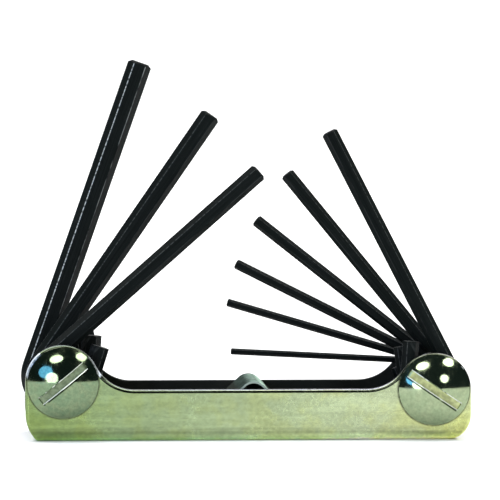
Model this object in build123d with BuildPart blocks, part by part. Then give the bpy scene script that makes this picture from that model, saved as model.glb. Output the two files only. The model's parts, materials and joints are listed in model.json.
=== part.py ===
"""Folding hex-key set: nine hexagon keys on two clamped pivots in a folded sheet-steel handle.

Millimetres. +X runs along the handle, -Y is the side with the slotted screws and +Z points out of
the handle's open side. The origin is on the underside of the handle, at the middle of its length
and width. The keys stand fanned out; turned down, they lie side by side in the handle.
"""
from build123d import *
import os
from math import cos, radians, sin, sqrt, tan

os.makedirs("parts", exist_ok=True)

INCH = 25.4

# Keys: name, pivot end, size across flats, reach of the straight, its direction above +X, and the
# length of the short end past the eye. They are listed in lane order, from the front wall to the back.
KEYS = [
    ("hex_key_1_8", "right", 1 / 8 * INCH, 61.1, 117.2, 10.1),
    ("hex_key_9_64", "left", 9 / 64 * INCH, 63.3, 41.5, 9.7),
    ("hex_key_7_64", "right", 7 / 64 * INCH, 56.95, 129.3, 9.7),
    ("hex_key_5_32", "left", 5 / 32 * INCH, 67.15, 55.4, 10.0),
    ("hex_key_3_32", "right", 3 / 32 * INCH, 53.0, 141.7, 6.0),
    ("hex_key_5_64", "right", 5 / 64 * INCH, 50.4, 153.3, 3.8),
    ("hex_key_3_16", "left", 3 / 16 * INCH, 72.1, 70.7, 10.3),
    ("hex_key_1_16", "right", 1 / 16 * INCH, 47.7, 163.6, 3.8),
    ("hex_key_050", "right", 0.050 * INCH, 43.85, 177.0, 3.6),
]
lane_gap = 0.12          # free space each side of a key or spacer
edge_round = 0.06        # edge radius of the hexagon, as a share of its size across flats
eye_clearance = 0.06     # radial running clearance of an eye on its post
eye_wrap = 211           # degrees that the wire is wound round its post
tip_bevel = 0.09         # depth of the bevel round the tip, as a share of the size across flats

# Handle
handle_length = 98.4
wall_height = 11.35      # top of the straight middle of each side wall
sheet = 1.5
bend_radius = 1.75       # at the middle of the sheet
ear_radius = 8.15
ear_x = {"left": ear_radius - handle_length / 2, "right": handle_length / 2 - ear_radius}
ear_z = {"left": 13.1, "right": 11.15}
wall_end_radius = {"left": 8.0, "right": 5.5}     # lower corners of the side walls
wall_end_height = {"left": 6.0, "right": 5.5}     # where those corners meet the upright ends
blend_radius = {"left": 9.5, "right": 10.0}       # concave sweep from an ear to the middle
outer_edge_round = 0.8
inner_edge_round = 0.3

# Pivots: each sits a little inboard of its ear's centre
pivot_x = {"left": ear_x["left"] + 0.12, "right": ear_x["right"] - 0.15}
pivot_z = {"left": ear_z["left"] - 0.15, "right": ear_z["right"] + 0.05}
post_radius = 3.6
post_clearance = 0.05
post_short = 0.4         # the post stops this far inside the front wall's face
spacer_radius = 6.0
spacer_bevel = 0.3
screw_radius = 2.4
screw_clearance = 0.05
screw_reach = 18.0
thread_depth = 20.0
head_radius = 7.8
head_rim = 0.9
head_crown = 3.5
head_edge = 0.3
cap_radius = (head_radius**2 + (head_crown - head_rim) ** 2) / (2 * (head_crown - head_rim))
slot_width = 1.55
slot_floor = {"left": 1.85, "right": 1.64}        # a deeper slot runs out farther along the dome
slot_lip = 0.24          # bevel along the slot's edges, following the dome
slot_half_angle = {"left": 29.0, "right": 30.8}   # the slot's half length, about the dome's centre
slot_angle = {"left": 39.0, "right": -34.2}
slot_angle_back = {"left": 20.0, "right": 75.0}

# Key rest: an arched strap with sloping shoulders, upright legs and flat feet
rest_x = 1.2
rest_top = 12.95
rest_sheet = 0.42
rest_width = 25.2
rest_crest_radius = 2.9
rest_slope = 43.0
rest_half_span = 4.8
rest_foot = 3.6
rest_bend = 1.0
rest_corner = 1.0        # bevel that lets the feet clear the bends of the handle

inner_width = sum(key[2] for key in KEYS) + lane_gap * (len(KEYS) + 1)
handle_width = inner_width + 2 * sheet
front_face = -handle_width / 2
back_face = handle_width / 2


def save(part, name):
    part.label = name
    export_step(part, f"parts/{name}.step")


def lane_edges():
    """Front and back edge of each key's lane, in the order of KEYS."""
    edges = []
    front = -inner_width / 2 + lane_gap
    for key in KEYS:
        edges.append((front, front + key[2]))
        front += key[2] + lane_gap
    return edges


LANES = lane_edges()


# Handle channel ------------------------------------------------------------------------------------

def ear_outline(side):
    """The tangent point of an ear with its concave sweep, and the sweep's end on the straight."""
    inward = 1 if side == "left" else -1
    blend = blend_radius[side]
    rise = wall_height + blend - ear_z[side]
    run = sqrt((ear_radius + blend) ** 2 - rise**2)
    share = ear_radius / (ear_radius + blend)
    on_ear = (ear_x[side] + inward * run * share, ear_z[side] + rise * share)
    on_wall = (ear_x[side] + inward * run, wall_height)
    return on_ear, on_wall


def lower_corner(side):
    """Ends of the arc at a side wall's lower corner: on the upright end and on the underside."""
    outward = -1 if side == "left" else 1
    radius = wall_end_radius[side]
    height = wall_end_height[side]
    end_x = outward * handle_length / 2
    inset = radius - sqrt(radius**2 - height**2)
    return (end_x, height), (end_x - outward * inset, 0)


# A block with the side walls' outline; its long edges are rounded before the sheet is cut to it
with BuildPart() as wall_blank:
    with BuildSketch(Plane.XZ):
        with BuildLine():
            left_ear, left_wall = ear_outline("left")
            right_ear, right_wall = ear_outline("right")
            left_upright, left_base = lower_corner("left")
            right_upright, right_base = lower_corner("right")
            left_end = (-handle_length / 2, ear_z["left"])
            right_end = (handle_length / 2, ear_z["right"])
            Line(left_upright, left_end)
            RadiusArc(left_end, left_ear, ear_radius)
            RadiusArc(left_ear, left_wall, -blend_radius["left"])
            Line(left_wall, right_wall)
            RadiusArc(right_wall, right_ear, -blend_radius["right"])
            RadiusArc(right_ear, right_end, ear_radius)
            Line(right_end, right_upright)
            RadiusArc(right_upright, right_base, wall_end_radius["right"])
            Line(right_base, left_base)
            RadiusArc(left_base, left_upright, wall_end_radius["left"])
        make_face()
    extrude(amount=handle_width / 2, both=True)
    sides = wall_blank.faces().sort_by(Axis.Y)
    fillet(sides[0].edges() + sides[-1].edges(), radius=outer_edge_round)

with BuildPart() as handle_channel:
    with BuildSketch(Plane.YZ.offset(-handle_length / 2)):
        with BuildLine():
            wall = inner_width / 2 + sheet / 2
            top = ear_z["left"] + ear_radius + 1
            FilletPolyline(
                (-wall, top), (-wall, sheet / 2), (wall, sheet / 2), (wall, top), radius=bend_radius
            )
        trace(line_width=sheet)
    extrude(amount=handle_length)
    add(wall_blank.part, mode=Mode.INTERSECT)
    inner_rim = handle_channel.edges().filter_by(
        lambda edge: abs(abs(edge.center().Y) - inner_width / 2) < 0.01 and edge.center().Z > bend_radius * 2
    )
    fillet(inner_rim, radius=inner_edge_round)
    for side in ("left", "right"):
        with BuildSketch(Plane.XZ):
            with Locations((pivot_x[side], pivot_z[side])):
                Circle(post_radius + post_clearance)
        extrude(amount=handle_width, both=True, mode=Mode.SUBTRACT)

save(handle_channel.part, "handle_channel")


# Key rest ------------------------------------------------------------------------------------------

with BuildPart() as key_rest:
    with BuildSketch(Plane.XZ):
        with BuildLine():
            slope = radians(rest_slope)
            apex = rest_top - rest_sheet / 2 + rest_crest_radius * (1 / cos(slope) - 1)
            shoulder = apex - rest_half_span * tan(slope)
            floor = sheet + rest_sheet / 2
            toe = rest_half_span + rest_foot
            FilletPolyline(
                (rest_x - toe, floor),
                (rest_x - rest_half_span, floor),
                (rest_x - rest_half_span, shoulder),
                (rest_x, apex),
                (rest_x + rest_half_span, shoulder),
                (rest_x + rest_half_span, floor),
                (rest_x + toe, floor),
                radius=[rest_bend, rest_bend, rest_crest_radius, rest_bend, rest_bend],
            )
        trace(line_width=rest_sheet)
    extrude(amount=rest_width / 2, both=True)
    with BuildSketch(Plane.YZ):
        with Locations((0, sheet)):
            Rectangle(rest_width, wall_height + 4, align=(Align.CENTER, Align.MIN))
        chamfer(vertices().group_by(Axis.Z)[0], length=rest_corner)
    extrude(amount=handle_length / 2, both=True, mode=Mode.INTERSECT)

save(key_rest.part, "key_rest")


# Pivots --------------------------------------------------------------------------------------------

def pivot_axis(side):
    return Axis((pivot_x[side], 0, pivot_z[side]), (0, 1, 0))


def disc(side, y, radius):
    """Round face about a pivot's axis, facing +Y."""
    with BuildSketch(Plane(origin=(pivot_x[side], y, pivot_z[side]), z_dir=(0, 1, 0))) as face:
        Circle(radius)
    return face.sketch


def dome_profile(side, face_y):
    """Half section of a low dome on a short rim, standing on a wall's outer face."""
    outward = 1 if face_y > 0 else -1
    radial = Plane(
        origin=(pivot_x[side], face_y, pivot_z[side]), x_dir=(1, 0, 0), z_dir=(0, 0, outward)
    )
    with BuildSketch(radial) as profile:
        with BuildLine():
            Line((0, 0), (head_radius - head_edge, 0))
            Line((head_radius - head_edge, 0), (head_radius, head_edge))
            Line((head_radius, head_edge), (head_radius, head_rim))
            RadiusArc((head_radius, head_rim), (0, head_crown), -cap_radius)
            Line((0, head_crown), (0, 0))
        make_face()
    return profile.sketch


def slot_outline(side, face_y, angle):
    """Driver slot at its floor, facing away from the handle."""
    outward = 1 if face_y > 0 else -1
    level = Plane(
        origin=(pivot_x[side], face_y + outward * slot_floor[side], pivot_z[side]),
        x_dir=(cos(radians(angle)), 0, sin(radians(angle))),
        z_dir=(0, outward, 0),
    )
    with BuildSketch(level) as outline:
        Rectangle(3 * head_radius, slot_width)
    return outline.sketch


def lip_cut(side, face_y, angle):
    """Section of the bevelled lip at one end of the slot, and the axis it turns about."""
    outward = 1 if face_y > 0 else -1
    centre = (pivot_x[side], face_y + outward * (head_crown - cap_radius), pivot_z[side])
    run = Vector(cos(radians(angle)), 0, sin(radians(angle)))
    across = Vector(-sin(radians(angle)), 0, cos(radians(angle)))
    turn = radians(slot_half_angle[side])
    upwards = Vector(0, outward, 0) * cos(turn) + run * sin(turn)
    section = Plane(origin=centre, x_dir=across, z_dir=across.cross(upwards))
    half = slot_width / 2
    with BuildSketch(section) as outline:
        with BuildLine():
            Polyline(
                (-half - 2 * slot_lip, cap_radius + slot_lip),
                (-half, cap_radius - slot_lip),
                (half, cap_radius - slot_lip),
                (half + 2 * slot_lip, cap_radius + slot_lip),
                close=True,
            )
        make_face()
    return outline.sketch, Axis(centre, across * outward)


for side in ("left", "right"):
    slot = slot_outline(side, front_face, slot_angle[side])
    lip, lip_axis = lip_cut(side, front_face, slot_angle[side])
    with BuildPart() as pivot_screw:
        revolve(dome_profile(side, front_face), axis=pivot_axis(side))
        extrude(slot, amount=head_crown, mode=Mode.SUBTRACT)
        revolve(lip, axis=lip_axis, revolution_arc=2 * slot_half_angle[side], mode=Mode.SUBTRACT)
        extrude(disc(side, front_face, screw_radius), amount=screw_reach)

    save(pivot_screw.part, f"{side}_pivot_screw")

    post_end = front_face + post_short
    bore_radius = screw_radius + screw_clearance
    slot = slot_outline(side, back_face, slot_angle_back[side])
    lip, lip_axis = lip_cut(side, back_face, slot_angle_back[side])
    with BuildPart() as pivot_post:
        revolve(dome_profile(side, back_face), axis=pivot_axis(side))
        extrude(slot, amount=head_crown, mode=Mode.SUBTRACT)
        revolve(lip, axis=lip_axis, revolution_arc=2 * slot_half_angle[side], mode=Mode.SUBTRACT)
        extrude(disc(side, post_end, post_radius), amount=back_face - post_end)
        extrude(disc(side, post_end, bore_radius), amount=thread_depth, mode=Mode.SUBTRACT)

    save(pivot_post.part, f"{side}_pivot_post")


# Spacers -------------------------------------------------------------------------------------------

def spacer_spans(side):
    """Front and back face of each spacer: one for every run of lanes with no key on this post."""
    spans = []
    previous_free = False
    for key, (front, back) in zip(KEYS, LANES):
        free = key[1] != side
        if free and previous_free:
            spans[-1] = (spans[-1][0], back)
        elif free:
            spans.append((front, back))
        previous_free = free
    return spans


for side in ("left", "right"):
    for number, (front, back) in enumerate(spacer_spans(side), start=1):
        with BuildPart() as spacer:
            extrude(disc(side, front, spacer_radius), amount=back - front)
            chamfer(spacer.edges().filter_by(GeomType.CIRCLE), length=spacer_bevel)
            extrude(disc(side, front, post_radius), amount=back - front, mode=Mode.SUBTRACT)

        save(spacer.part, f"{side}_spacer_{number}")


# Hex keys ------------------------------------------------------------------------------------------

def key_plane(side, angle, lane_y):
    """Plane of a key's wire: local x runs along its straight, local y from the post to the straight."""
    turn = radians(angle)
    facing = -1 if side == "left" else 1
    return Plane(
        origin=(pivot_x[side], lane_y, pivot_z[side]),
        x_dir=(cos(turn), 0, sin(turn)),
        z_dir=(0, facing, 0),
    )


for (name, side, across_flats, reach, angle, stub_length), (front, back) in zip(KEYS, LANES):
    wire_plane = key_plane(side, angle, (front + back) / 2)
    across_corners = across_flats * 2 / sqrt(3)
    eye_radius = post_radius + eye_clearance + across_corners / 2

    with BuildPart() as hex_key:
        with BuildLine(wire_plane):
            straight = Line((reach, eye_radius), (0, eye_radius))
            eye = CenterArc((0, 0), eye_radius, 90, eye_wrap)
            PolarLine(eye @ 1, stub_length, angle=eye_wrap - 180)
        with BuildSketch(Plane(straight @ 0, x_dir=wire_plane.y_dir, z_dir=-wire_plane.x_dir)):
            RegularPolygon(across_corners / 2, 6)
            fillet(vertices(), radius=edge_round * across_flats)
        sweep()
        tip = wire_plane.from_local_coords((reach, eye_radius, 0))
        bevel = tip_bevel * across_flats
        with BuildSketch(Plane(tip, x_dir=wire_plane.x_dir, z_dir=wire_plane.z_dir)):
            with BuildLine():
                Polyline(
                    (0, across_corners / 2 - 2 * bevel),
                    (0, across_corners),
                    (-across_corners / 2, across_corners),
                    close=True,
                )
            make_face()
        revolve(axis=Axis(tip, wire_plane.x_dir), mode=Mode.SUBTRACT)

    save(hex_key.part, name)
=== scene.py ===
"""Looks for the folding hex-key set: materials, floor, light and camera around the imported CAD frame."""

import json
from collections import namedtuple
from functools import reduce
from math import asin, cos, radians, sin, sqrt

import bpy
from mathutils import Matrix, Vector


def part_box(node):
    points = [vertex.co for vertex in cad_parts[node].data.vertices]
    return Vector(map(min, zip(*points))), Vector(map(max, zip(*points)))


MM = 0.001

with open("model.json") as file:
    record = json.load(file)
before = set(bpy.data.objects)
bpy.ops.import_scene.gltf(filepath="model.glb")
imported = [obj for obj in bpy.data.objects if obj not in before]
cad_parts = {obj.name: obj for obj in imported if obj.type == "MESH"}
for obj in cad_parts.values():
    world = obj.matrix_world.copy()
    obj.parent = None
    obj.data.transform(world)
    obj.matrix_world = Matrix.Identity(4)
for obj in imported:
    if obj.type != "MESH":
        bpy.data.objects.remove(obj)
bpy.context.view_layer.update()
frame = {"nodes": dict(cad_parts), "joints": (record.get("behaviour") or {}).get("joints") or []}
nodes = frame["nodes"]
joints = {joint["child"]: joint for joint in frame["joints"]}

# Places on the CAD parts that the materials follow.
WALL_FACE = 14.84 * MM           # the walls' outer faces, from the middle of the width
MID_WALL = 14.05 * MM            # about half way through the walls' thickness
CHANNEL_FLOOR = 1.45 * MM        # just below the upper face of the channel's floor
HALF_SLOT = 0.775 * MM           # half the width of a driver slot
POST_RADIUS = 3.66 * MM          # the inside of a wire's eye
STUB_TURN = 31.0                 # degrees from a wire's long straight to its short end

# Painted glints, pale patches standing in for highlights on the rounds of the ears: middle x and z, half
# width and half height, in mm.
PAINTED_GLINTS = [(-47.6, 17.2, 2.2, 4.6), (-33.6, 16.8, 2.4, 3.2), (33.2, 12.4, 0.6, 0.8), (46.9, 15.6, 0.7, 0.8)]

# Plating and driver slot of the two heads on each pivot. The slot's angles are in degrees from level, on
# the front head and on the back one. Its floor is measured out from the wall, and its reach from the axis.
Head = namedtuple("Head", "base dull slot_floor slot_angles floor_height reach")
# The left head's colours, its slot floor too, are painted darker than the right head's: painted shade on one
# plating.
HEADS = {
    "left": Head(
        base=(0.148, 0.215, 0.125),
        dull=(0.195, 0.245, 0.140),
        slot_floor=(0.150, 0.192, 0.115),
        slot_angles=(39, 20),
        floor_height=1.85 * MM,
        reach=6.34 * MM,
    ),
    "right": Head(
        base=(0.250, 0.315, 0.185),
        dull=(0.290, 0.345, 0.205),
        slot_floor=(0.400, 0.440, 0.210),
        slot_angles=(-34.2, 75),
        floor_height=1.64 * MM,
        reach=6.70 * MM,
    ),
}


# Node helpers --------------------------------------------------------------------------------------

class Graph:
    """Short calls for building a node tree."""

    def __init__(self, tree):
        self.tree = tree

    def add(self, kind, **settings):
        node = self.tree.nodes.new(kind)
        for name, value in settings.items():
            setattr(node, name, value)
        return node

    def put(self, value, socket):
        """A link if value is a socket, a plain value if it isn't."""
        if isinstance(value, bpy.types.NodeSocket):
            self.tree.links.new(value, socket)
        else:
            socket.default_value = value

    def fill(self, node, values):
        for socket, value in zip(node.inputs, values):
            self.put(value, socket)

    def math(self, operation, *values):
        node = self.add("ShaderNodeMath", operation=operation)
        self.fill(node, values)
        return node.outputs[0]

    def product(self, *values):
        return reduce(lambda first, second: self.math("MULTIPLY", first, second), values)

    def total(self, *values):
        return reduce(lambda first, second: self.math("ADD", first, second), values)

    def inverse(self, value):
        """One less the value."""
        return self.math("SUBTRACT", 1, value)

    def vector(self, operation, *values):
        node = self.add("ShaderNodeVectorMath", operation=operation)
        self.fill(node, values)
        return node.outputs["Value"] if operation in ("DOT_PRODUCT", "LENGTH") else node.outputs[0]

    def combine(self, x, y, z):
        node = self.add("ShaderNodeCombineXYZ")
        self.fill(node, (x, y, z))
        return node.outputs[0]

    def split(self, vector):
        node = self.add("ShaderNodeSeparateXYZ")
        self.put(vector, node.inputs[0])
        return node.outputs

    def normal(self):
        """X, Y and Z of the surface normal, in the object's own frame."""
        return self.split(self.add("ShaderNodeTexCoord").outputs["Normal"])

    def noise(self, vector, scale, detail=3.0, roughness=0.55, distortion=0.0):
        node = self.add("ShaderNodeTexNoise")
        self.put(vector, node.inputs["Vector"])
        node.inputs["Scale"].default_value = scale
        node.inputs["Detail"].default_value = detail
        node.inputs["Roughness"].default_value = roughness
        node.inputs["Distortion"].default_value = distortion
        return node.outputs["Fac"]

    def between(self, value, low, high, to_low=0.0, to_high=1.0, smooth=True):
        """Maps low to high, which may run downwards, onto to_low to to_high, and clamps."""
        node = self.add("ShaderNodeMapRange", interpolation_type="SMOOTHSTEP" if smooth else "LINEAR")
        self.put(value, node.inputs["Value"])
        self.put(low, node.inputs["From Min"])
        self.put(high, node.inputs["From Max"])
        self.put(to_low, node.inputs["To Min"])
        self.put(to_high, node.inputs["To Max"])
        return node.outputs["Result"]

    def swell(self, value, amount, low=0.3, high=0.7):
        """A factor round about 1, up or down by amount with a noise value."""
        return self.between(value, low, high, 1 - amount, 1 + amount)

    def mix(self, factor, first, second, blend="MIX"):
        node = self.add("ShaderNodeMix", data_type="RGBA", blend_type=blend)
        self.put(factor, node.inputs[0])
        for value, socket in ((first, node.inputs[6]), (second, node.inputs[7])):
            self.put((*value, 1) if isinstance(value, tuple) and len(value) == 3 else value, socket)
        return node.outputs[2]

    def shaded(self, colour, shade):
        """A colour times a grey."""
        return self.mix(1.0, colour, self.combine(shade, shade, shade), blend="MULTIPLY")

    def bump(self, height, strength, distance):
        node = self.add("ShaderNodeBump")
        node.inputs["Strength"].default_value = strength
        node.inputs["Distance"].default_value = distance
        self.put(height, node.inputs["Height"])
        return node.outputs["Normal"]


def material(name):
    """A new node material: its graph, its Principled shader and the object coordinates in metres."""
    made = bpy.data.materials.new(name)
    made.use_nodes = True
    graph = Graph(made.node_tree)
    shader = made.node_tree.nodes["Principled BSDF"]
    place = graph.add("ShaderNodeTexCoord").outputs["Object"]
    return made, graph, shader, place


def from_axis(graph, place, pivot):
    """The vector from a pivot's axis, which runs along Y, straight out to a point."""
    return graph.vector("MULTIPLY", graph.vector("SUBTRACT", place, pivot), (1, 0, 1))


def pivot_of(side):
    low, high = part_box(f"{side}_pivot_screw")
    return (low + high) / 2


# Sheet metal ---------------------------------------------------------------------------------------

def plated_sheet(name, left, right, rough, mottle):
    """Satin plating on rolled sheet: cloudy colour that pales towards +X as painted light, mottle and wiping
    streaks.
    """
    made, graph, shader, place = material(name)
    x = graph.split(place)[0]
    clouds = graph.noise(place, 60, detail=5, roughness=0.6)
    speckle = graph.noise(place, 1100, detail=3, roughness=0.7)
    grain = graph.noise(place, 3600, detail=2)
    streaks = graph.noise(graph.vector("MULTIPLY", place, (60, 900, 900)), 1, detail=3)
    # Painted shade and light: the colour runs from left at -X to right at +X, the darker end standing in for
    # less light.
    colour = graph.mix(graph.between(x, -45 * MM, 45 * MM, smooth=False), left, right)
    shade = graph.product(
        graph.swell(clouds, mottle * 0.5),
        graph.swell(speckle, mottle),
        graph.swell(streaks, mottle * 0.4, 0.35, 0.65),
    )
    roughness = graph.total(
        rough,
        graph.between(clouds, 0.3, 0.7, -0.03, 0.05),
        graph.between(streaks, 0.5, 0.75, 0, -0.05),
        graph.between(speckle, 0.4, 0.7, -0.02, 0.04),
    )
    height = graph.total(
        graph.product(speckle, 0.6), graph.product(grain, 0.25), graph.product(streaks, 0.35)
    )
    graph.put(graph.bump(height, 0.35, 0.06 * MM), shader.inputs["Normal"])
    return made, graph, shader, place, graph.shaded(colour, shade), roughness, (clouds, speckle)


def painted_glint_places(graph, x, z, depth):
    """1 within the painted glints, apart from the flat outer face of the front wall."""
    spots = []
    for middle_x, middle_z, half_width, half_height in PAINTED_GLINTS:
        across = graph.math("DIVIDE", graph.math("SUBTRACT", x, middle_x * MM), half_width * MM)
        along = graph.math("DIVIDE", graph.math("SUBTRACT", z, middle_z * MM), half_height * MM)
        spots.append(graph.between(graph.vector("LENGTH", graph.combine(across, along, 0)), 1.0, 0.75))
    widest = reduce(lambda first, second: graph.math("MAXIMUM", first, second), spots)
    return graph.product(widest, graph.between(depth, -0.985, -0.93))


def handle_sheet(name):
    """The handle: yellowed low at its ends, darker towards -X as painted shade, painted shadow round the
    screw heads, dark painted shade inside.
    """
    # Painted shade and light: the -X end is painted darker and the +X end paler.
    made, graph, shader, place, colour, roughness, (clouds, speckle) = plated_sheet(
        name, (0.175, 0.257, 0.110), (0.440, 0.500, 0.300), rough=0.22, mottle=0.16
    )
    x, y, z = graph.split(place)
    _, depth, facing = graph.normal()
    yellowed = graph.product(graph.between(graph.noise(place, 170, detail=4), 0.42, 0.62), 0.8)
    colour = graph.mix(yellowed, colour, (1.02, 0.98, 0.80), blend="MULTIPLY")
    # Painted light and shade on the bend along the bottom: faces turned down are painted lighter, as if lit
    # from the floor, below a band painted slightly darker.
    under = graph.product(
        graph.between(z, 3.4 * MM, 2.5 * MM, 1.0, 0.80),
        graph.between(facing, -0.20, -0.7, 1.0, 2.3),
        graph.between(facing, -0.60, -0.95, 1.0, 1.55),
    )
    colour = graph.shaded(colour, under)
    # The walls' cut edge and other faces turned up: painted bluish shade, and a dark line painted as a dark
    # reflection where the edge turns over.
    colour = graph.mix(graph.between(facing, 0.60, 0.80), colour, (0.52, 0.45, 0.95), blend="MULTIPLY")
    dark_reflection = graph.product(graph.between(facing, 0.04, 0.12), graph.between(facing, 0.68, 0.58), 0.9)
    colour = graph.mix(dark_reflection, colour, (0.010, 0.014, 0.010))
    # Painted highlights: pale glints on the ears' rounds, with less metal there.
    painted_glints = painted_glint_places(graph, x, z, depth)
    colour = graph.mix(painted_glints, colour, (0.86, 0.93, 0.97))
    # The plating is stained low down towards both ends.
    ends = graph.between(graph.math("ABSOLUTE", x), 26 * MM, 46 * MM)
    low = graph.between(z, 12 * MM, 4 * MM)
    stained = graph.product(ends, low, graph.between(clouds, 0.3, 0.6, 0.5, 1.0))
    colour = graph.mix(stained, colour, (1.02, 0.99, 0.66), blend="MULTIPLY")
    # Painted shadow: a dark ring on the walls round each screw head, where the head meets them.
    for pivot in map(pivot_of, HEADS):
        far = graph.vector("LENGTH", from_axis(graph, place, pivot))
        near_rim = graph.between(far, 8.35 * MM, 7.9 * MM)
        rim_shadow = graph.product(near_rim, graph.between(speckle, 0.3, 0.55, 0.45, 0.9))
        colour = graph.mix(rim_shadow, colour, (0.045, 0.055, 0.030))
    # Painted shade: inside the channel the walls and floor are painted near black, with less metal, more
    # roughness and no coat.
    within_walls = graph.between(graph.math("ABSOLUTE", y), MID_WALL + 0.1 * MM, MID_WALL - 0.1 * MM)
    inside = graph.product(within_walls, graph.between(z, CHANNEL_FLOOR - 0.15 * MM, CHANNEL_FLOOR))
    inside_shade = graph.mix(graph.between(clouds, 0.35, 0.65), (0.005, 0.007, 0.005), (0.013, 0.015, 0.011))
    metallic = graph.product(
        graph.inverse(graph.product(inside, 0.75)), graph.inverse(graph.product(painted_glints, 0.8))
    )
    graph.put(graph.mix(inside, colour, inside_shade), shader.inputs["Base Color"])
    graph.put(metallic, shader.inputs["Metallic"])
    graph.put(graph.total(roughness, graph.product(inside, 0.22)), shader.inputs["Roughness"])
    shader.inputs["Specular IOR Level"].default_value = 0.2
    graph.put(graph.product(graph.inverse(inside), 0.25), shader.inputs["Coat Weight"])
    shader.inputs["Coat Roughness"].default_value = 0.08
    return made


def rest_sheet(name):
    """The key rest: dull sheet, with painted shade on the side of the arch turned to -X, painted light on the
    side turned to +X, and painted shade low down in the channel.
    """
    tone = (0.150, 0.205, 0.168)
    made, graph, shader, place, colour, roughness, _ = plated_sheet(name, tone, tone, rough=0.46, mottle=0.42)
    z = graph.split(place)[2]
    side, depth, _ = graph.normal()
    # Painted shade and light: darker on faces turned to -X, lighter on faces turned to +X.
    shade = graph.product(
        graph.between(side, -0.62, 0.12, 0.30, 1.35), graph.between(side, 0.20, 0.65, 1.0, 2.2)
    )
    colour = graph.shaded(colour, shade)
    cut_edge = graph.between(depth, -0.80, -0.95)
    colour = graph.mix(cut_edge, colour, (0.29, 0.35, 0.29))
    # Painted shade: below the walls' top, down in the channel, the rest is painted near black.
    buried = graph.between(z, 11.6 * MM, 10.6 * MM)
    graph.put(graph.mix(buried, colour, (0.03, 0.034, 0.028)), shader.inputs["Base Color"])
    shader.inputs["Specular IOR Level"].default_value = 0.0
    graph.put(roughness, shader.inputs["Roughness"])
    return made


# Turned parts --------------------------------------------------------------------------------------

def bright_plate(name, head, pivot):
    """Mirror plating on a turned head: slight waviness, fine wiping scratches, a dull slot with its lips
    painted pale as highlights.
    """
    made, graph, shader, place = material(name)
    y = graph.split(place)[1]
    waves = graph.noise(place, 160, detail=2)
    haze = graph.noise(place, 420, detail=4, roughness=0.6)
    speckle = graph.noise(place, 1500, detail=3, roughness=0.7)
    scratches = graph.noise(graph.vector("MULTIPLY", place, (2600, 900, 260)), 1, detail=2, distortion=0.6)
    colour = graph.mix(graph.between(haze, 0.35, 0.7), head.base, head.dull)
    colour = graph.shaded(colour, graph.between(speckle, 0.3, 0.7, 0.86, 1.12))

    # A slot is a band through the pivot, at its own angle on the front head and on the back one.
    offset = from_axis(graph, place, pivot)
    far = graph.vector("LENGTH", offset)
    turns = [radians(angle) for angle in head.slot_angles]
    across = [graph.vector("DOT_PRODUCT", offset, (-sin(turn), 0, cos(turn))) for turn in turns]
    front = graph.math("LESS_THAN", y, 0)
    above_slot = graph.total(graph.product(front, across[0]), graph.product(graph.inverse(front), across[1]))
    off_slot = graph.math("ABSOLUTE", above_slot)
    out_of_wall = graph.math("SUBTRACT", graph.math("ABSOLUTE", y), WALL_FACE)
    slot = graph.product(
        graph.math("LESS_THAN", off_slot, HALF_SLOT - 0.003 * MM),
        graph.math("LESS_THAN", out_of_wall, head.floor_height + 0.02 * MM),
        graph.math("LESS_THAN", far, head.reach - 0.14 * MM),
    )
    drag = graph.between(graph.noise(place, 900, detail=3), 0.35, 0.65, 0.75, 1.2)
    colour = graph.mix(slot, colour, graph.shaded(head.slot_floor, drag))

    # Painted highlights: pale lips next to the slot, with less metal, and a dark line painted outside the
    # lower lip.
    in_reach = graph.math("LESS_THAN", far, head.reach + 0.01 * MM)
    lower = graph.math("LESS_THAN", above_slot, 0)
    patchy = graph.between(graph.noise(place, 420, detail=2), 0.40, 0.50)
    lip_glint = graph.product(
        graph.math("GREATER_THAN", off_slot, HALF_SLOT),
        graph.between(off_slot, 1.0 * MM, 0.93 * MM),
        in_reach,
        graph.math("MAXIMUM", lower, patchy),
    )
    dark_line = graph.product(
        graph.between(off_slot, 0.96 * MM, 1.0 * MM),
        graph.between(off_slot, 1.36 * MM, 1.31 * MM),
        in_reach,
        lower,
        graph.between(graph.noise(place, 520, detail=2), 0.30, 0.38),
    )
    colour = graph.mix(lip_glint, colour, (0.72, 0.76, 0.66))
    colour = graph.mix(graph.product(dark_line, 0.9), colour, (0.008, 0.012, 0.006))
    roughness = graph.total(
        0.07,
        graph.between(haze, 0.45, 0.75, 0, 0.10),
        graph.between(scratches, 0.62, 0.72, 0, 0.08),
        graph.product(slot, 0.25),
    )
    height = graph.total(graph.product(waves, 0.8), graph.product(scratches, 0.05))
    graph.put(colour, shader.inputs["Base Color"])
    graph.put(graph.inverse(graph.product(lip_glint, 0.8)), shader.inputs["Metallic"])
    graph.put(roughness, shader.inputs["Roughness"])
    graph.put(graph.bump(height, 0.25, 0.08 * MM), shader.inputs["Normal"])
    return made


def turned_steel(name, pivot):
    """Bare turned steel with fine lathe rings about a pivot's axis, and an oily bloom."""
    made, graph, shader, place = material(name)
    y = graph.split(place)[1]
    far = graph.vector("LENGTH", from_axis(graph, place, pivot))
    fineness = 9000
    ringed = graph.combine(graph.product(far, fineness), graph.product(y, fineness), 0)
    rings = graph.noise(ringed, 1, detail=2)
    bloom = graph.noise(place, 260, detail=4)
    colour = graph.mix(graph.between(bloom, 0.35, 0.7), (0.40, 0.40, 0.39), (0.20, 0.19, 0.165))
    graph.put(colour, shader.inputs["Base Color"])
    shader.inputs["Metallic"].default_value = 1.0
    graph.put(graph.between(bloom, 0.3, 0.7, 0.24, 0.42), shader.inputs["Roughness"])
    graph.put(graph.bump(rings, 0.3, 0.04 * MM), shader.inputs["Normal"])
    return made


# Hexagon wire --------------------------------------------------------------------------------------

WIRE_VECTORS = ("Place", "Pivot", "Run", "Outward", "StubRun", "StubOutward")
WIRE_RADII = ("EyeRadius", "CornerRadius")
WIRE_RESULTS = ("Along", "Side", "Depth", "Corner")


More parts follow.
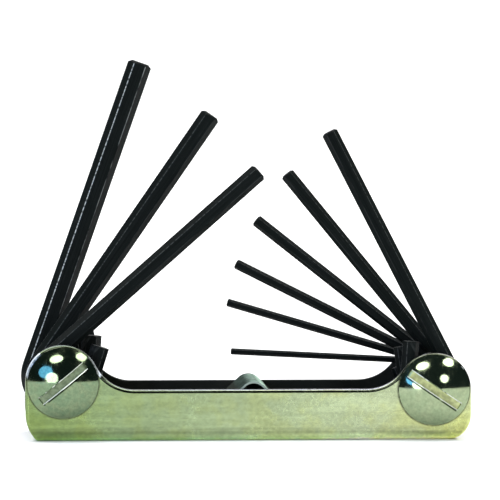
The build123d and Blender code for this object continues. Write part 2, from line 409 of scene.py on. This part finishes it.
def wire_facts(node):
    """How a key's wire runs at rest, worked out from its joint and its CAD node."""
    pivot = Vector(joints[node]["pos_m"])
    axis = Vector((0, joints[node]["axis"][1], 0))
    low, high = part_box(node)
    corner_radius = (high.y - low.y) / sqrt(3)
    points = [vertex.co for vertex in nodes[node].data.vertices]
    reach = max((point - pivot).length for point in points)
    tip_points = [point for point in points if (point - pivot).length > reach - corner_radius]
    tip = sum(tip_points, Vector()) / len(tip_points)
    tip.y = pivot.y
    # The straight is tangent to a circle about the pivot, at the eye's radius.
    eye_radius = POST_RADIUS + corner_radius
    swing = asin(eye_radius / (tip - pivot).length)
    run = Matrix.Rotation(-swing, 3, axis) @ (tip - pivot).normalized()
    outward = Matrix.Rotation(radians(90), 3, axis) @ run
    turn = Matrix.Rotation(radians(STUB_TURN), 3, axis)
    return {
        "Pivot": pivot,
        "Run": run,
        "Outward": outward,
        "StubRun": turn @ run,
        "StubOutward": -(turn @ outward),
        "EyeRadius": eye_radius,
        "CornerRadius": corner_radius,
    }


def wire_group():
    """Node group: where a point lies on a bent hexagon wire.

    Along is metres from the tangent point, Side and Depth the place in the section, and Corner is 1 on
    the six edges and 0 at the middle of a flat.
    """
    tree = bpy.data.node_groups.new("hex_wire", "ShaderNodeTree")
    sockets = (
        (WIRE_VECTORS, "INPUT", "NodeSocketVector"),
        (WIRE_RADII, "INPUT", "NodeSocketFloat"),
        (WIRE_RESULTS, "OUTPUT", "NodeSocketFloat"),
    )
    for names, end, kind in sockets:
        for name in names:
            tree.interface.new_socket(name, in_out=end, socket_type=kind)
    graph = Graph(tree)
    given = graph.add("NodeGroupInput").outputs
    result = graph.add("NodeGroupOutput").inputs
    offset = graph.vector("SUBTRACT", given["Place"], given["Pivot"])
    depth = graph.split(offset)[1]
    ways = ("Run", "Outward", "StubRun", "StubOutward")
    run, out, stub_run, stub_out = (graph.vector("DOT_PRODUCT", offset, given[way]) for way in ways)
    # A point is on the long straight, on the short end, or else on the eye.
    beyond, outside, stub_beyond, stub_outside = (
        graph.math("GREATER_THAN", value, 0) for value in (run, out, stub_run, stub_out)
    )
    on_bar = graph.product(beyond, outside)
    on_stub = graph.product(stub_beyond, stub_outside, graph.inverse(on_bar))
    on_eye = graph.math("SUBTRACT", graph.inverse(on_bar), on_stub)
    far = graph.vector("LENGTH", graph.vector("MULTIPLY", offset, (1, 0, 1)))
    radial = graph.total(
        graph.product(on_bar, out), graph.product(on_stub, stub_out), graph.product(on_eye, far)
    )
    side = graph.math("SUBTRACT", radial, given["EyeRadius"])
    round_eye = graph.product(graph.math("ARCTAN2", run, out), given["EyeRadius"])
    along = graph.total(
        graph.product(on_bar, run), graph.product(on_stub, stub_run), graph.product(on_eye, round_eye)
    )
    section = graph.vector("LENGTH", graph.combine(side, depth, 0))
    share = graph.math("DIVIDE", section, given["CornerRadius"])
    graph.put(along, result["Along"])
    graph.put(side, result["Side"])
    graph.put(depth, result["Depth"])
    graph.put(graph.between(share, sqrt(3) / 2, 0.985, smooth=False), result["Corner"])
    return tree


def black_oxide(name, group, facts, wear_and_glint):
    """Black oxide on drawn hexagon wire: draw lines along the wire, dusty scuffs, edges rubbed light as wear
    and painted sheen, one edge painted as a highlight line.
    """
    made, graph, shader, place = material(name)
    wire = graph.add("ShaderNodeGroup", node_tree=group)
    graph.put(place, wire.inputs["Place"])
    for socket, value in facts.items():
        wire.inputs[socket].default_value = value
    along, side, depth, corner = (wire.outputs[output] for output in WIRE_RESULTS)

    def drawn(lengthwise, crosswise):
        """Noise coordinates stretched along the wire."""
        return graph.combine(
            graph.product(along, lengthwise), graph.product(side, crosswise), graph.product(depth, crosswise)
        )

    lines = graph.noise(drawn(55, 4200), 1, detail=3)
    patches = graph.noise(drawn(160, 500), 1, detail=4, roughness=0.65)
    grain = graph.noise(place, 5200, detail=2)
    dust = graph.product(graph.between(patches, 0.56, 0.78), graph.between(lines, 0.42, 0.66), 0.30)
    colour = graph.mix(graph.between(lines, 0.3, 0.7), (0.0030, 0.0044, 0.0040), (0.0062, 0.0082, 0.0076))
    colour = graph.mix(dust, colour, (0.036, 0.036, 0.035))
    # Painted highlight: one front edge, the one that meets the handle first, is painted bright with gaps in
    # it.
    glint_gaps = graph.noise(graph.combine(graph.product(along, 1500), 0, 0), 1, detail=2)
    edge_glint = graph.product(
        graph.math("GREATER_THAN", side, facts["CornerRadius"] * 0.35),
        graph.math("LESS_THAN", depth, 0),
        graph.between(corner, 0.86, 0.97),
        graph.between(patches, 0.25, 0.40),
        graph.between(glint_gaps, 0.38, 0.58, 0.12, 1.0),
    )
    # The corners are rubbed light: partly wear, partly painted sheen.
    scuffs_and_sheen = graph.product(graph.between(corner, 0.93, 1.0), graph.between(patches, 0.38, 0.62), 0.4)
    rubbed_and_sheen = graph.product(graph.math("MAXIMUM", scuffs_and_sheen, edge_glint), wear_and_glint)
    colour = graph.mix(rubbed_and_sheen, colour, (0.52, 0.56, 0.53))
    roughness = graph.total(
        0.36, graph.between(patches, 0.3, 0.75, -0.06, 0.16), graph.product(rubbed_and_sheen, -0.08)
    )
    height = graph.total(graph.product(lines, 0.8), graph.product(grain, 0.35))
    graph.put(colour, shader.inputs["Base Color"])
    graph.put(graph.product(rubbed_and_sheen, 0.25), shader.inputs["Metallic"])
    graph.put(roughness, shader.inputs["Roughness"])
    shader.inputs["Specular IOR Level"].default_value = 0.025
    graph.put(graph.bump(height, 0.35, 0.04 * MM), shader.inputs["Normal"])
    return made


# Paint ---------------------------------------------------------------------------------------------

def paint(node, made):
    mesh = nodes[node].data
    mesh.materials.clear()
    mesh.materials.append(made)


def paint_all():
    hex_wire = wire_group()
    for name in nodes:
        if name.startswith("hex_key"):
            # The 3/16 key gets a strong painted highlight line and more rubbed corners.
            wear_and_glint = 0.85 if name == "hex_key_3_16" else 0.10
            paint(name, black_oxide(f"oxide_{name}", hex_wire, wire_facts(name), wear_and_glint))
    paint("handle_channel", handle_sheet("plated_sheet"))
    paint("key_rest", rest_sheet("dull_sheet"))
    for side, head in HEADS.items():
        pivot = pivot_of(side)
        bright = bright_plate(f"bright_plate_{side}", head, pivot)
        paint(f"{side}_pivot_screw", bright)
        paint(f"{side}_pivot_post", bright)
        turned = turned_steel(f"turned_steel_{side}", pivot)
        for name in nodes:
            if name.startswith(f"{side}_spacer"):
                paint(name, turned)


# Floor, light and camera ---------------------------------------------------------------------------

def floor():
    """A pale sweep: flat under the object, curving up far behind it."""
    half_width = 6.0
    front, bend_start, radius, top = -4.0, 2.5, 1.5, 5.0
    steps = 24
    profile = [(front, 0.0), (bend_start, 0.0)]
    for step in range(1, steps + 1):
        turn = radians(90) * step / steps
        profile.append((bend_start + radius * sin(turn), radius * (1 - cos(turn))))
    profile.append((bend_start + radius, top))
    points = [(x, y, z) for y, z in profile for x in (-half_width, half_width)]
    faces = [(2 * i, 2 * i + 1, 2 * i + 3, 2 * i + 2) for i in range(len(profile) - 1)]
    mesh = bpy.data.meshes.new("floor")
    mesh.from_pydata(points, [], faces)
    for polygon in mesh.polygons:
        polygon.use_smooth = True
    made = bpy.data.objects.new("floor", mesh)
    bpy.context.scene.collection.objects.link(made)
    paper, graph, shader, place = material("paper")
    colour = graph.mix(graph.noise(place, 3, detail=2), (0.86, 0.86, 0.855), (0.88, 0.88, 0.875))
    graph.put(colour, shader.inputs["Base Color"])
    shader.inputs["Roughness"].default_value = 0.9
    shader.inputs["Specular IOR Level"].default_value = 0.1
    mesh.materials.append(paper)


def softbox(name, place, aim, size, power, colour=(1, 1, 1), roll=0, shape="ELLIPSE"):
    light = bpy.data.lights.new(name, "AREA")
    light.shape = shape
    light.size, light.size_y = size
    light.energy = power
    light.color = colour
    made = bpy.data.objects.new(name, light)
    made.location = place
    towards = (Vector(aim) - Vector(place)).to_track_quat("-Z", "Y").to_matrix()
    made.rotation_euler = (towards @ Matrix.Rotation(radians(roll), 3, "Z")).to_euler()
    bpy.context.scene.collection.objects.link(made)


def direction(off_axis, bearing):
    """Unit vector at an angle off the viewing side, turned from straight up towards +X."""
    tilt, swing = radians(off_axis), radians(bearing)
    return Vector((sin(tilt) * sin(swing), -cos(tilt), sin(tilt) * cos(swing)))


def lights():
    """A wide light overhead, one for the sweep, and five small ones that the domed heads mirror."""
    middle = Vector((0, 0, 12 * MM))
    softbox("overhead", (0, 0.45, 2.2), (0, 0.2, 0), (4.6, 2.0), 122, shape="RECTANGLE")
    softbox("back_wash", (0, 1.2, 2.6), (0, 4.0, 1.0), (4.0, 1.0), 120, shape="RECTANGLE")
    softbox("box_left", (-0.172, -0.465, 0.49), middle, (0.29, 0.185), 1.0, roll=22)
    softbox("box_right", middle + direction(61.5, 36), middle, (0.33, 0.26), 1.5, roll=-20)
    softbox("box_blue", (-0.335, -0.433, 0.178), middle, (0.27, 0.22), 0.72, (0.14, 0.40, 1.0))
    softbox("box_white", (-0.242, -0.520, 0.084), middle, (0.24, 0.20), 0.85, (0.95, 0.92, 1.0))
    softbox("box_small", (0.238, -0.450, 0.168), middle, (0.145, 0.135), 0.27, (0.95, 0.95, 1.0))
    world = bpy.data.worlds.new("room")
    world.use_nodes = True
    world.node_tree.nodes["Background"].inputs["Color"].default_value = (0.028, 0.040, 0.048, 1)
    bpy.context.scene.world = world


def camera():
    """A long lens a little to the left of square and a little above, as the object is seen."""
    azimuth, elevation = radians(-2.96), radians(2.77)
    distance = 1.0783
    front_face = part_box("handle_channel")[0].y
    aim = Vector((0.25 * MM, front_face, 42.1 * MM))
    back = Vector((sin(azimuth) * cos(elevation), -cos(azimuth) * cos(elevation), sin(elevation)))
    right = Vector((cos(azimuth), sin(azimuth), 0))
    up = back.cross(right)
    data = bpy.data.cameras.new("camera")
    data.sensor_width = 36
    data.lens = 353
    data.clip_start, data.clip_end = 0.01, 50
    made = bpy.data.objects.new("camera", data)
    spin = Matrix((right, up, back)).transposed().to_4x4()
    made.matrix_world = Matrix.Translation(aim + back * distance) @ spin
    bpy.context.scene.collection.objects.link(made)
    bpy.context.scene.camera = made


paint_all()
floor()
lights()
camera()
bpy.context.scene.view_settings.view_transform = "Standard"
